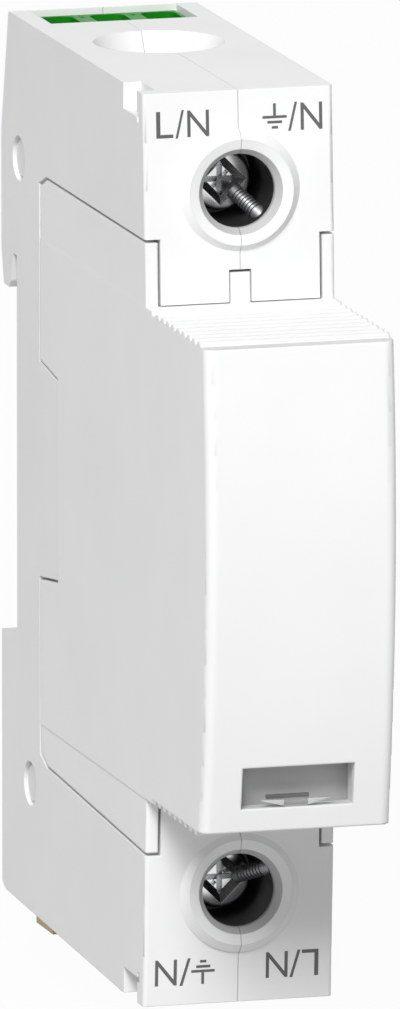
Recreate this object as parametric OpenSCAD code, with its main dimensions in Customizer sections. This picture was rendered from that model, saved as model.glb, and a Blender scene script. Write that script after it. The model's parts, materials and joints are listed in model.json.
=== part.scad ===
// Plug-in surge arrester for a 35 mm top-hat rail, one module wide.
// Origin in the middle of the rail's front face. The front looks toward -Y and +Z is up.
// Depth is measured from the rail's front face toward the front, so depth d lies at Y = -d.

/* [Housing] */
// Width across the module
body_w = 18; // [17:0.5:22]
// Height of the base
body_h = 85; // [84:0.5:92]
// Height of each terminal face beyond the nose
terminal_h = 19.6; // [19:0.1:21]
// Depth of the terminal faces, at the crest of their bow
face_depth = 44.8; // [43:0.1:48]
// Radius of the slight bow of the terminal faces
face_bow_r = 650; // [400:10:1200]
// Reach of the base behind the rail's front face
back_reach = 5.4; // [5:0.1:7]
// Rounding of the vertical edges of the terminal faces
edge_r = 0.4; // [0.2:0.1:1]
// Seam between the two shells
shell_seam = 0.04; // [0.02:0.01:0.1]
// Thickness of the cartridge walls
cartridge_wall = 1.3; // [1:0.1:2]

/* [Cartridge] */
// Depth of the nose front, at the crest of its bow
nose_depth = 65.2; // [63:0.1:70]
// Radius of the bow of the nose front
nose_bow_r = 165; // [120:5:300]
// Height of the crest of the bow above the middle
nose_crest_z = 5; // [0:0.5:8]
// Rounding of the vertical edges of the nose
nose_edge_r = 1; // [0.4:0.1:2]
// Depth of the rear edge of the cartridge
seat_depth = 8.1; // [7.8:0.1:9]
// Depth of the notch that takes the base's tongue
tongue_depth = 14.2; // [14:0.1:17]
// Distance from the nose's top to the tongue
tongue_under = 11.3; // [10:0.1:12]
// Distance from the nose's bottom to the tongue
tongue_over = 13.7; // [12:0.1:14]
// Thickness of the ears on each side
ear_t = 1.2; // [1:0.1:1.3]
// How far the ears reach above the nose
ear_up = 5.95; // [5:0.05:8]
// How far the ears reach below the nose
ear_down = 5.15; // [5:0.05:8]
// Width of the locating key above the nose
key_w = 1.9; // [1.5:0.1:3]
// Height of the locating key, as a share of the room between the nose and the collar
key_share = 0.58; // [0.3:0.02:0.8]
// Length of the locating key
key_len = 6; // [3:0.5:10]
// Gap between the ears and the base
cartridge_gap = 0.25; // [0.2:0.05:0.4]
// Gap above and below the nose and beside the key
nose_gap = 0.1; // [0.08:0.01:0.2]
// Gap at the face where the cartridge seats
seat_gap = 0.05; // [0.03:0.01:0.1]

/* [Grip ribs] */
// Distance between ribs
rib_pitch = 1.74; // [1.5:0.02:2]
// Radius of a rib
rib_r = 0.64; // [0.5:0.02:0.7]
// Height of the ribs above their land
rib_rise = 0.42; // [0.2:0.02:0.5]
// Distance from the terminal face to the first upper rib
rib_start = 2.6; // [2:0.1:3.2]
// How much nearer the lower ribs lie to the terminal face
rib_shift = 1; // [0:0.1:1.2]

/* [Rail seat] */
// Height of the rail
rail_h = 35; // [34.8:0.1:35.4]
// Thickness of the rail's flange
rail_t = 1; // [0.9:0.1:1.5]
// Height of the rail's middle above the middle of the nose
rail_z = 2.3; // [1.8:0.1:2.8]
// Play above and below the rail
rail_play = 0.1; // [0.05:0.05:0.3]
// How far the fixed hook reaches over the rail
hook_reach = 3; // [2:0.1:3.4]

/* [Rail clip] */
// Width of the clip
clip_w = 12; // [8:0.5:13]
// Thickness of the clip
clip_t = 2.8; // [2:0.1:2.9]
// How far the clip reaches over the rail
clip_bite = 1.4; // [1:0.1:2]
// Travel of the clip
clip_travel = 3.2; // [2:0.1:3.5]
// Height of the pull tab below the base
tab_h = 2.8; // [2:0.1:5]
// Gap round the clip
clip_gap = 0.3; // [0.2:0.05:0.4]

/* [Terminals] */
// Mean distance of the screw axes from the top and bottom of the base
screw_in = 9.9; // [9.5:0.1:10.4]
// How far both screws lie above places that mirror each other
clamp_lift = 0.6; // [0:0.1:0.7]
// Diameter of the screw thread
screw_d = 5; // [4:0.1:5.2]
// Diameter of the screw head
head_d = 5.8; // [5.6:0.1:6.4]
// Length of the screw head
head_t = 3.1; // [2.6:0.1:3.3]
// How far the screw heads lie behind the terminal faces
head_sink = 7.1; // [6.6:0.1:7.5]
// Diameter of the access hole
access_d = 6.9; // [6.6:0.1:7.4]
// Diameter of the collar's foot
collar_d = 10.8; // [10.2:0.1:11.4]
// Outer diameter of the collar's crest
crest_d = 9.9; // [9.2:0.1:10.1]
// Inner diameter of the collar's crest
crest_in_d = 8; // [7.6:0.1:8.6]
// Height of the collar
collar_rise = 0.8; // [0.4:0.1:1.4]
// How far the crest falls toward the hole
crest_dip = 0.25; // [0.1:0.05:0.35]
// Diameter of the cable hole
cable_d = 9; // [7:0.1:9.4]
// Diameter of the mouth of the cable funnel
funnel_d = 12.2; // [10:0.1:13]
// Height of the cable funnel
funnel_h = 2.6; // [1.5:0.1:3.5]
// Depth of the cable hole's axis
cable_depth = 16.9; // [16.6:0.1:17.4]
// Width of the clamp cage
cage_w = 11.2; // [10.6:0.1:11.8]
// Length of the clamp cage along the cable
cage_len = 8.6; // [7:0.1:8.8]
// Thickness of the cage's side walls
cage_wall = 1.2; // [0.9:0.1:1.4]
// Thickness of the cage's nut
nut_t = 3; // [2.5:0.1:3.2]
// Travel of the cage
cage_travel = 6.5; // [4:0.1:6.6]
// Thickness of the busbars
busbar_t = 1.6; // [1.2:0.1:1.7]
// Gap round the cages
cage_gap = 0.25; // [0.2:0.05:0.3]
// Radial fit of the screw shank
shank_fit = 0.06; // [0.03:0.01:0.1]
// Wall of the dark sleeves behind the access holes
sleeve_t = 0.5; // [0.4:0.1:0.8]
// Diameter of the ribbed screw keepers
keeper_d = 1.5; // [1.3:0.05:1.7]

/* [Contacts] */
// Distance of the blades' middle from the nose's top and bottom
blade_in = 4.6; // [4.4:0.1:5]
// Width of a blade
blade_w = 5; // [4:0.1:5.2]
// Thickness of a blade
blade_t = 1.5; // [1:0.1:1.8]
// Thickness of the jaw leaves
jaw_t = 0.6; // [0.4:0.05:0.8]
// Gap between a blade and each jaw leaf
jaw_gap = 0.1; // [0.05:0.05:0.2]

/* [Signal connector] */
// Width of the plug
plug_w = 13.7; // [13.4:0.1:14.2]
// Depth of the plug, front to back
plug_d = 7; // [6.8:0.1:7.2]
// Height of the plug
plug_h = 8.1; // [7:0.1:8.3]
// How far the plug's top lies under the base's top
plug_sink = 0.6; // [0.3:0.1:1]
// Depth of the middle of the plug
plug_depth = 1.3; // [1.2:0.1:1.5]
// Distance between the wire entries
plug_pitch = 4.9; // [4.7:0.05:5]
// Width of a wire entry
entry_w = 3.3; // [2.8:0.1:3.5]
// Gap round the plug
plug_gap = 0.2; // [0.15:0.05:0.3]
// Wall behind the plug
plug_wall = 0.4; // [0.4:0.1:1]
// Thickness of the signal strips
lead_t = 0.8; // [0.5:0.05:0.9]

/* [Trip and window] */
// Width of the window
window_w = 10.6; // [8:0.1:12]
// Height of the window
window_h = 3.9; // [3:0.1:4.1]
// Height of the window's middle above the bottom of the nose
window_up = 4.55; // [4:0.05:5]
// Thickness of the nose front, where it is thinnest
front_wall = 1.5; // [1.4:0.1:2]
// Travel of the trip slider
trip_travel = 4.8; // [4.2:0.1:5]
// Room above and below the varistor block
varistor_edge = 4.6; // [4:0.1:7]
// Thickness of the varistor block
varistor_t = 5.5; // [4:0.1:5.6]
// Travel of the switch plunger
plunger_travel = 0.8; // [0.4:0.1:1]

/* [Hidden] */
$fn = 48;

eps = 0.01;
press_gap = 0.1;
slide_gap = 0.3;
white = [0.94, 0.95, 0.95];
copper = [0.80, 0.50, 0.32];
steel = [0.75, 0.76, 0.78];
green = [0.10, 0.55, 0.16];
dark = [0.15, 0.15, 0.16];

half_w = body_w / 2;
top_z = body_h / 2;
nose_h = body_h - 2 * terminal_h;
nose_top = nose_h / 2;
screw_z = top_z - screw_in;
far_reach = 10;
far_front = nose_depth + far_reach;
bow_reach = 4;
window_z = window_up - nose_top;
nose_inner = nose_at(-nose_top) - front_wall;
back_top_d = plug_depth - plug_d / 2 - plug_gap - plug_wall;

// Rail, hook and clip
rail_top = rail_z + rail_h / 2;
rail_bottom = rail_z - rail_h / 2;
hook_z = rail_top + rail_play;
ledge_z = rail_bottom - rail_play;
lip_z = hook_z - hook_reach;
back_d = -back_reach;
ledge_slope = 1.1;
hook_lean = 1;
hook_back = 11;
bottom_rise = 1.5;
bottom_back_z = -top_z + bottom_rise;
bottom_flat_d = 36;
bottom_chamfer = 1.2;
clip_play = 0.2;
clip_front = -rail_t - clip_play - 0.3;
clip_rear = clip_front - clip_t;
clip_nose_d = -rail_t - clip_play;
lug_reach = 3.8;
lug_t = 1.6;
lug_w = 4;
spring_floor = bottom_back_z + 0.8;
spring_solid = 5.4;
lug_top = spring_floor + spring_solid + clip_travel + lug_t;
clip_spring_d = clip_front + lug_reach / 2 + 0.2;
clip_spring_od = 3.2;
clip_wire_d = 0.5;
tab_reach = 3;
tab_top = bottom_back_z - clip_gap - 0.3;
tab_slot = [4.4, 1.2];

// Cartridge and base outlines
tongue_top = nose_top - tongue_under;
tongue_bottom = tongue_over - nose_top;
ear_top = nose_top + ear_up;
ear_bottom = -nose_top - ear_down;
ear_root = 0.5;
tongue_lean = 0.8;
ear_chamfer = [2.2, 0.95];
ear_slope = 1.6;
land_drop = rib_rise;
side_inset = 0.05;
land_start = face_depth + 1.6;
ear_in = half_w - ear_t;
notch_len = 4.6;
notch_h = 2.4;
notch_w = 1.7;
notch_lip = 2;
notch_foot = 0.5;

// Terminals
key_h = key_share * (screw_z + clamp_lift - collar_d / 2 - nose_top);
head_depth = face_depth - head_sink;
collar_depth = face_depth - pow(screw_z, 2) / (2 * face_bow_r);
shoulder_front = head_depth - head_t;
shoulder_t = 1.6;
collar_root = 1.6;
collar_funnel = 0.2;
head_gap = 0.05;
head_chamfer = 0.4;
head_r = head_d / 2;
recess_len = 4;
recess_w = 1.1;
recess_depth = 1.3;
shoulder_rear = shoulder_front - shoulder_t;
nut_front = shoulder_rear - slide_gap - cage_travel;
nut_rear = nut_front - nut_t;
bar_front = nut_rear - slide_gap;
bar_rear = bar_front - busbar_t;
cage_rear_t = 1.6;
cage_inner = cable_depth - cable_d / 2 + 0.1;
cage_rear = cage_inner - cage_rear_t;
bar_half = cage_w / 2 - cage_wall - 0.2;
run_wall = 1.05;
run_top = screw_z - cage_len / 2 - cage_gap - run_wall;
run_bottom = run_top - busbar_t;
leg_rear = 1.4;
leg_front = leg_rear + busbar_t;
bend_r = 0.5;
shank_end = bar_front + slide_gap;
shank_r = screw_d / 2 + shank_fit;
front_skin = 0.7;
sleeve_front = collar_depth - front_skin;
sleeve_r = access_d / 2 + 0.15;
sleeve_seat_r = sleeve_r + sleeve_t + press_gap;
crest_front = collar_depth + collar_rise;
keeper_len = 3.4;
keeper_root = 1.2;
keeper_cap = 0.45;
keeper_ribs = 13;
keeper_clear = 1.2;
keeper_pitch = 38;
upper_keeper_turn = -46;
lower_keeper_turn = -24;

// Contacts
blade_z = nose_top - blade_in;
blade_tip = leg_front + jaw_t + slide_gap;
jaw_tip = seat_depth - 0.5;
jaw_half = blade_t / 2 + jaw_gap + jaw_t;

// Signal connector and switch
plug_top = top_z - plug_sink;
plug_bottom = plug_top - plug_h;
lead_room = 4.6;
cavity_floor = run_top + lead_room;
cavity_w = plug_w + 2 * plug_gap;
cavity_d = plug_d + 2 * plug_gap;
header_h = plug_bottom - plug_gap - cavity_floor - press_gap;
pin_ahead = 2.5;
pin_h = 4.2;
pin_depth = plug_depth + pin_ahead;
pin_top = plug_bottom + pin_h;
entry_h = 6.4;
entry_wall = 0.4;
entry_floor = plug_top - entry_h;
entry_d = [plug_depth - plug_d / 2 + entry_wall, pin_depth - lead_t / 2 - 0.1 - entry_wall];
entry_r = 0.9;
land_hole = [0.5, 0.4];
clamp_w = 1.6;
clamp_t = 0.35;
clamp_reach = 1.1;
clamp_h = 3.2;
lead_side = 5;
lead_gap = 1;
lead_out = [for (i = [0 : 2]) lead_side + i * lead_gap];
lead_step = 1.2;
lead_lift = 0.8;
lead_level = [for (i = [0 : 2]) run_top + lead_lift + i * lead_step];
lead_drop = 2.5;
lead_end = [for (i = [0 : 2]) (2 - i) * lead_drop];
switch_w = 6;
switch_low = -4;
switch_h = 10;
switch_z = [switch_low, switch_low + switch_h];
switch_back = 0.8;
switch_cover = 2.4;
switch_d = [pin_depth - switch_back, tongue_depth - switch_cover];
plunger_z = 3;
plunger_d = 1.8;
plunger_hole_r = plunger_d / 2 + slide_gap;
plunger_fit = 0.08;
plunger_root = 1.2;
plunger_sink = 0.2;
plunger_tip = tongue_depth - seat_gap - plunger_sink;

// Rivets
rivet_d = 2.4;
rivet_head_d = 3.4;
rivet_head_t = 0.5;
dimple_d = 4.2;
dimple_t = 0.8;
rivet_low = 2.4;
rivet_lift = 2.25;
rivet_spots = [[0.7, cavity_floor - rivet_low], [4.4, -run_top - rivet_lift]];

// Inside the cartridge
cavity_x = half_w - cartridge_wall;
cavity_z = nose_top - cartridge_wall;
plate_t = 1.5;
blade_foot = seat_depth + plate_t + 3;
lens_flange = 0.8;
lens_flange_r = window_h / 2 + lens_flange;
lens_flange_t = 1;
flag_t = 0.8;
flag_front = nose_inner - lens_flange_t - 0.4;
flag_d = [flag_front - flag_t, flag_front];
flag_cover = 0.5;
flag_z = [slide_gap - cavity_z, slide_gap - cavity_z + trip_travel + flag_cover];
lens_sink = 0.75;
lens_front = nose_at(window_z) - lens_sink;
status_t = 1;
status_d = flag_d[0] - 0.8;
electrode_t = 0.6;
left_plate_x = -cavity_x + 0.2;
varistor_x = left_plate_x + electrode_t;
right_plate_x = varistor_x + varistor_t;
varistor_gap = 2.3;
varistor_room = 5.39;
varistor_round = 3;
varistor_z = cavity_z - varistor_edge;
varistor_d = [tongue_depth + plate_t + varistor_gap, status_d - status_t - varistor_room];
varistor_mid = (varistor_d[0] + varistor_d[1]) / 2;
electrode_r = min(varistor_z, varistor_d[1] - varistor_mid) - varistor_round;
slider_t = 1.2;
slider_x = cavity_x - slide_gap - slider_t;
slider_low = -12;
slider_h = 20;
slider_z = [slider_low, slider_low + slider_h];
slider_back = 1;
slider_len = 18;
slider_d = [varistor_mid + slider_back, varistor_mid + slider_back + slider_len];
carrier_len = 8;
carrier_lap = 2;
arm_t = 0.6;
arm_back = 5;
arm_w = 4;
arm_d = [varistor_mid + arm_back, varistor_mid + arm_back + arm_w];
arm_low = 2;
arm_h = 1;
arm_z = [arm_low, arm_low + arm_h];
arm_foot = -10;
rail_gap = 0.2;
rail_x = slider_x - arm_t - rail_gap - arm_t;
rail_top_z = -3;
trip_foot = 2.6;
trip_spring_od = 2.4;
trip_foot_t = 1.4;
trip_spring_back = 16;
trip_spring_d = varistor_mid + trip_spring_back;
trip_wire_d = 0.4;

// Box given by its range across, in depth and in height
module block(x, d, z) {
    translate([x[0], -d[1], z[0]]) cube([x[1] - x[0], d[1] - d[0], z[1] - z[0]]);
}

// Extrusion across the width of a shape drawn as depth and height
module from_side(x0, x1) {
    translate([x0, 0, 0]) rotate([90, 0, 90]) linear_extrude(x1 - x0) mirror([1, 0]) children();
}

// Upward extrusion of a shape drawn as width and depth
module from_top(z0, z1) {
    translate([0, 0, z0]) linear_extrude(z1 - z0) mirror([0, 1]) children();
}

// Round bar toward the front, from depth d0 to d1
module bar_front_to(x, z, d0, d1, r0, r1) {
    translate([x, -d0, z]) rotate([90, 0, 0]) cylinder(h = d1 - d0, r1 = r0, r2 = r1);
}

// Round bar across the width
module bar_across(x0, x1, d, z, r) {
    translate([x0, -d, z]) rotate([0, 90, 0]) cylinder(h = x1 - x0, r = r);
}

// The same shape above and, mirrored, below the middle
module above_and_below() {
    children();
    mirror([0, 0, 1]) children();
}

// The place of one clamp: the upper as it is drawn, the lower mirrored, both lifted alike
module clamp_place(lower) {
    translate([0, 0, clamp_lift]) mirror([0, 0, lower ? 1 : 0]) children();
}

module both_clamps() {
    for (lower = [false, true])
        clamp_place(lower) children();
}

// The same shape on the left and, mirrored, on the right
module left_and_right() {
    children();
    mirror([1, 0, 0]) children();
}

// Depth of the nose front at a height
function nose_at(z) = nose_depth - pow(z - nose_crest_z, 2) / (2 * nose_bow_r);

function unit(v) = v / norm(v);
function turned(v, a) = [v[0] * cos(a) - v[1] * sin(a), v[0] * sin(a) + v[1] * cos(a)];

// Points of a fillet of radius r at corner b between a and c
function fillet(a, b, c, r, steps = 6) =
    let (u = unit(a - b), w = unit(c - b))
    let (half = acos(u * w) / 2, mid = b + unit(u + w) * r / sin(half))
    let (from = b + u * r / tan(half) - mid)
    let (sweep = (180 - 2 * half) * (cross(u, w) > 0 ? -1 : 1))
    [for (i = [0 : steps]) mid + turned(from, sweep * i / steps)];

// Outline with a fillet at each corner [x, y, radius]
function rounded(corners) =
    let (n = len(corners), at = [for (c = corners) [c[0], c[1]]])
    [for (i = [0 : n - 1])
        each corners[i][2] > 0
            ? fillet(at[(i + n - 1) % n], at[i], at[(i + 1) % n], corners[i][2])
            : [at[i]]];

// Solid behind a front that is bowed in height and rounded along its two upright edges
module bowed_front(crest_depth, crest_z, bow_r, round_r, reach, half_h) {
    sweep = 2 * asin(half_h / (bow_r - reach)) + 2;
    translate([0, bow_r - crest_depth, crest_z])
        rotate([0, 90, 0])
            rotate([0, 0, -90 - sweep / 2])
                rotate_extrude(angle = sweep, $fn = 720) {
                    translate([bow_r - reach, -half_w]) square([reach - round_r, body_w]);
                    translate([bow_r - reach, round_r - half_w]) square([reach, body_w - 2 * round_r]);
                    for (side = [-1, 1])
                        translate([bow_r - round_r, side * (half_w - round_r)]) circle(round_r, $fn = 24);
                }
}

module terminal_front() {
    bowed_front(face_depth, 0, face_bow_r, edge_r, face_depth + back_reach + bow_reach, top_z + bow_reach);
}

module nose_front() {
    nose_len = nose_depth - seat_depth + bow_reach;
    bowed_front(nose_depth, nose_crest_z, nose_bow_r, nose_edge_r, nose_len, nose_h);
}

// Rear edge of the cartridge, notched for the base's tongue, from its top to its bottom
function rear_edge(gap, seat) = [
    [seat_depth - gap, tongue_top - gap],
    [tongue_depth - seat, tongue_top - tongue_lean - gap],
    [tongue_depth - seat, tongue_bottom + tongue_lean + gap],
    [seat_depth - gap, tongue_bottom + gap]
];

// Side outline of the cartridge's body
function body_outline(gap, side, seat) = concat(
    [[far_front, nose_top + side], [seat_depth - gap, nose_top + side]],
    rear_edge(gap, seat),
    [[seat_depth - gap, -nose_top - side], [far_front, -nose_top - side]]
);

// Side outline of the cartridge's ears
function ear_outline(gap, seat) = concat(
    [
        [far_front, ear_top + gap],
        [seat_depth + ear_chamfer[0], ear_top + gap],
        [seat_depth - gap, ear_top - ear_chamfer[1] + gap]
    ],
    rear_edge(gap, seat),
    [
        [seat_depth - gap, ear_bottom + ear_slope + ear_chamfer[1] - gap],
        [seat_depth + ear_chamfer[0], ear_bottom + ear_slope - gap],
        [face_depth, ear_bottom - gap],
        [far_front, ear_bottom - gap]
    ]
);

// Side outline of the base with its rail seat, hook and ledge
function base_outline() = rounded([
    [back_top_d, top_z, 0.4],
    [far_front, top_z, 0],
    [far_front, -top_z, 0],
    [bottom_flat_d, -top_z, 0],
    [back_d + bottom_chamfer, bottom_back_z, 0.3],
    [back_d, bottom_back_z + bottom_chamfer / 2, 0.3],
    [back_d, ledge_z - ledge_slope, 0.3],
    [0, ledge_z, 0.2],
    [0, hook_z, 0.2],
    [-rail_t - clip_play, hook_z, 0.2],
    [-rail_t - hook_lean, lip_z + 0.3, 0.2],
    [-rail_t - hook_lean - 0.6, lip_z - 0.4, 0],
    [back_d + 0.9, lip_z - 0.4, 0.4],
    [back_d, hook_z, 0.3],
    [back_d, hook_z + hook_back, 0]
]);

// Path of a busbar from the clamp back to the contact jaw
function busbar_outline(gap) = rounded([
    [bar_rear - gap, screw_z + cage_len / 2 - 0.5, 0],
    [bar_front + gap, screw_z + cage_len / 2 - 0.5, 0],
    [bar_front + gap, run_bottom - gap, bend_r + busbar_t],
    [leg_front + gap, run_bottom - gap, bend_r],
    [leg_front + gap, blade_z - blade_w / 2 - gap, 0],
    [leg_rear - gap, blade_z - blade_w / 2 - gap, 0],
    [leg_rear - gap, run_top + gap, bend_r + busbar_t],
    [bar_rear - gap, run_top + gap, bend_r]
]);

// Room for a cage, its screw and the way to its head
module clamp_cavities() {
    block(
        [-cage_w / 2 - cage_gap, cage_w / 2 + cage_gap],
        [cage_rear - cage_gap, shoulder_rear],
        [screw_z - cage_len / 2 - cage_gap, screw_z + cage_len / 2 + cage_gap]
    );
    bar_front_to(0, screw_z, shoulder_rear - eps, shoulder_front + eps, shank_r, shank_r);
    bar_front_to(0, screw_z, shoulder_front, sleeve_front, sleeve_seat_r, sleeve_seat_r);
    bar_front_to(0, screw_z, sleeve_front - eps, crest_front + 1, access_d / 2, access_d / 2);
}

// Room for a busbar, its jaw and the cable, as it lies at the upper terminal
module terminal_cavities() {
    from_side(-bar_half - press_gap, bar_half + press_gap) polygon(busbar_outline(press_gap));
    block(
        [-jaw_half - 0.5, jaw_half + 0.5],
        [leg_front, seat_depth],
        [blade_z - blade_w / 2 - press_gap, blade_z + blade_w / 2 + press_gap]
    );
    translate([0, -cable_depth, screw_z]) cylinder(h = top_z - screw_z + 1, d = cable_d);
    translate([0, -cable_depth, top_z - funnel_h])
        cylinder(h = funnel_h + eps, d1 = cable_d, d2 = funnel_d);
}

// Conical collar round a screw hole, with its funnel, turned about the hole's axis
module collar() {
    translate([0, -collar_depth, screw_z])
        rotate([90, 0, 0])
            rotate_extrude()
                polygon([
                    [access_d / 2 - 0.1, -collar_root],
                    [collar_d / 2, -collar_root],
                    [collar_d / 2, 0],
                    [crest_d / 2, collar_rise],
                    [crest_in_d / 2, collar_rise - crest_dip],
                    [access_d / 2 - 0.1, -collar_funnel]
                ]);
}

module collar_bore() {
    crest = crest_front - crest_dip + eps;
    bar_front_to(0, screw_z, collar_depth - collar_funnel, crest, access_d / 2, crest_in_d / 2);
}

// Small recess behind a front corner, on the upper left
module corner_notch() {
    front = face_depth - pow(top_z, 2) / (2 * face_bow_r) - notch_lip;
    step = top_z - notch_h;
    block([-half_w - 1, notch_w - half_w], [front - notch_len, front], [step, top_z + 1]);
    block(
        [-half_w - 1, notch_foot - half_w],
        [front, front + 1.4 * notch_foot],
        [step - notch_foot, step + notch_foot]
    );
}

module keeper_place(lower) {
    turn = lower ? lower_keeper_turn : upper_keeper_turn;
    side = lower ? -1 : 1;
    root = [access_d / 2 * cos(turn), -(head_depth + keeper_clear + keeper_len * sin(keeper_pitch)), 0];
    translate([root[0], root[1], clamp_lift + side * (screw_z + access_d / 2 * sin(turn))])
        rotate([0, side * -turn + 180, 0])
            rotate([0, 0, keeper_pitch])
                rotate([0, 90, 0])
                    children();
}

module keeper_hole(lower) {
    keeper_place(lower)
        translate([0, 0, -keeper_root])
            cylinder(h = keeper_root * 2, d = keeper_d + 2 * eps);
}

// Channels for the signal strips, in the right shell
module lead_channels() {
    d = [pin_depth - lead_t / 2 - 0.2, pin_depth + lead_t / 2 + 0.2];
    x_out = lead_out[2] + lead_t / 2 + 0.15;
    block([-plug_pitch - lead_t, x_out], d, [lead_level[0] - 0.2, cavity_floor + eps]);
    block([lead_out[0] - lead_t / 2 - 0.2, x_out], d, [lead_end[2] - 0.4, lead_level[0]]);
    block([switch_w / 2, x_out], d, [lead_end[2] - 0.4, lead_end[0] + lead_t + 0.4]);
}

module switch_cavity() {
    block(
        [-switch_w / 2 - press_gap, switch_w / 2 + press_gap],
        [switch_d[0] - press_gap, switch_d[1] + press_gap],
        [switch_z[0] - press_gap, switch_z[1] + press_gap]
    );
    bar_front_to(0, plunger_z, switch_d[1], tongue_depth + 1, plunger_hole_r, plunger_hole_r);
}

// Channel for the rail clip, with the chamber of its spring
module clip_channel() {
    block(
        [-clip_w / 2 - clip_gap, clip_w / 2 + clip_gap],
        [clip_rear - clip_gap, clip_nose_d + clip_gap / 2],
        [-top_z - 1, ledge_z + 2]
    );
    block(
        [-lug_w / 2 - clip_gap, lug_w / 2 + clip_gap],
        [clip_rear, clip_front + lug_reach + clip_gap],
        [spring_floor, lug_top + 0.8]
    );
}

module rivet_cavities() {
    for (spot = rivet_spots) {
        bar_across(-half_w, half_w, spot[0], spot[1], rivet_d / 2 + eps);
        left_and_right() bar_across(-half_w - 1, dimple_t - half_w, spot[0], spot[1], dimple_d / 2);
    }
}

// Room that the cartridge takes out of the base
module cartridge_room() {
    from_side(-half_w - 1, half_w + 1) polygon(body_outline(cartridge_gap, nose_gap, seat_gap));
    left_and_right()
        from_side(ear_in - cartridge_gap, half_w + 1) polygon(ear_outline(cartridge_gap, seat_gap));
    block(
        [-key_w / 2 - nose_gap, key_w / 2 + nose_gap],
        [face_depth - key_len - cartridge_gap, far_front],
        [nose_top, nose_top + key_h + cartridge_gap]
    );
}

// The whole base, before it is split into its two shells
module base_solid() {
    difference() {
        union() {
            intersection() {
                from_side(-body_w, body_w) polygon(base_outline());
                terminal_front();
            }
            both_clamps() collar();
        }
        cartridge_room();
        above_and_below() terminal_cavities();
        both_clamps() clamp_cavities();
        both_clamps() collar_bore();
        above_and_below() corner_notch();
        block(
            [-cavity_w / 2, cavity_w / 2],
            [plug_depth - cavity_d / 2, plug_depth + cavity_d / 2],
            [cavity_floor, top_z + 1]
        );
        lead_channels();
        switch_cavity();
        clip_channel();
        rivet_cavities();
        for (lower = [false, true])
            keeper_hole(lower);
    }
}

module base_left_shell() {
    color(white)
        intersection() {
            base_solid();
            block([-body_w, -shell_seam / 2], [-body_w, far_front], [-body_h, body_h]);
        }
}

module base_right_shell() {
    color(white)
        intersection() {
            base_solid();
            block([shell_seam / 2, body_w], [-body_w, far_front], [-body_h, body_h]);
        }
}

module case_rivets() {
    seat = half_w - dimple_t;
    color(steel)
        for (spot = rivet_spots) {
            bar_across(-seat, seat, spot[0], spot[1], rivet_d / 2);
            left_and_right() bar_across(-seat - rivet_head_t, -seat, spot[0], spot[1], rivet_head_d / 2);
        }
}

module busbar() {
    color(copper) from_side(-bar_half, bar_half) polygon(busbar_outline(0));
}

module upper_busbar() {
    busbar();
}

module lower_busbar() {
    mirror([0, 0, 1]) busbar();
}

// Sprung jaw with flared tips, seen from above
module contact_jaw() {
    inner = blade_t / 2 + jaw_gap;
    outer = jaw_half;
    neck = jaw_tip - 1.1;
    right = [
        [outer, leg_front],
        [outer, neck],
        [outer + 0.4, jaw_tip - 0.15],
        [inner + 0.45, jaw_tip],
        [inner, neck + 0.1],
        [inner, leg_front + jaw_t]
    ];
    left = [for (i = [len(right) - 1 : -1 : 0]) [-right[i][0], right[i][1]]];
    color(copper)
        from_top(blade_z - blade_w / 2, blade_z + blade_w / 2) polygon(concat(right, left));
}

module upper_contact_jaw() {
    contact_jaw();
}

module lower_contact_jaw() {
    mirror([0, 0, 1]) contact_jaw();
}

// Terminal screw with a chamfered cross-recessed head
module terminal_screw() {
    chamfer = head_chamfer;
    color(steel)
        difference() {
            union() {
                bar_front_to(0, screw_z, shank_end, head_depth - chamfer, screw_d / 2, screw_d / 2);
                bar_front_to(0, screw_z, shoulder_front + head_gap, head_depth - chamfer, head_r, head_r);
                bar_front_to(0, screw_z, head_depth - chamfer, head_depth, head_r, head_r - chamfer);
            }
            for (turn = [0, 90])
                translate([0, -head_depth, screw_z])
                    rotate([0, turn, 0])
                        translate([-recess_len / 2, -1, -recess_w / 2])
                            cube([recess_len, recess_depth + 1, recess_w]);
        }
}

module upper_screw() {
    clamp_place(false) terminal_screw();
}

module lower_screw() {
    clamp_place(true) terminal_screw();
}

module clamp_cage() {
    half = cage_w / 2;
    z = [screw_z - cage_len / 2, screw_z + cage_len / 2];
    color(steel)
        difference() {
            block([-half, half], [cage_rear, nut_front], z);
            block([cage_wall - half, half - cage_wall], [cage_inner, nut_rear], [z[0] - 1, z[1] + 1]);
            bar_front_to(0, screw_z, nut_rear - 1, nut_front + 1, shank_r, shank_r);
        }
}

module upper_cage() {
    clamp_place(false) clamp_cage();
}

module lower_cage() {
    clamp_place(true) clamp_cage();
}

// Ribbed rod that keeps a screw from backing out, turned about its own axis
module screw_keeper(lower) {
    ribbed = keeper_len - keeper_cap;
    pitch = ribbed / keeper_ribs;
    groove = 0.16;
    edge = [for (i = [0 : keeper_ribs - 1])
        each [[keeper_d / 2 - groove, i * pitch], [keeper_d / 2, (i + 0.5) * pitch]]];
    outline = concat(
        [[0, -keeper_root], [keeper_d / 2, -keeper_root], [keeper_d / 2, 0]],
        edge,
        [
            [keeper_d / 2 - groove, ribbed],
            [keeper_d / 2, ribbed + pitch / 2],
            [keeper_d / 2, keeper_len],
            [0, keeper_len]
        ]
    );
    color(steel) keeper_place(lower) rotate_extrude($fn = 24) polygon(outline);
}

module upper_screw_keeper() {
    screw_keeper(false);
}

module lower_screw_keeper() {
    screw_keeper(true);
}

// Dark sleeve that lines the way to a screw head
module screw_sleeve(lower) {
    d = [shoulder_front + press_gap, sleeve_front - press_gap];
    outer_r = sleeve_r + sleeve_t;
    color(dark)
        difference() {
            clamp_place(lower)
                difference() {
                    bar_front_to(0, screw_z, d[0], d[1], outer_r, outer_r);
                    bar_front_to(0, screw_z, d[0] - 1, d[1] + 1, sleeve_r, sleeve_r);
                }
            keeper_hole(lower);
        }
}

module upper_screw_sleeve() {
    screw_sleeve(false);
}

module lower_screw_sleeve() {
    screw_sleeve(true);
}

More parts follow.
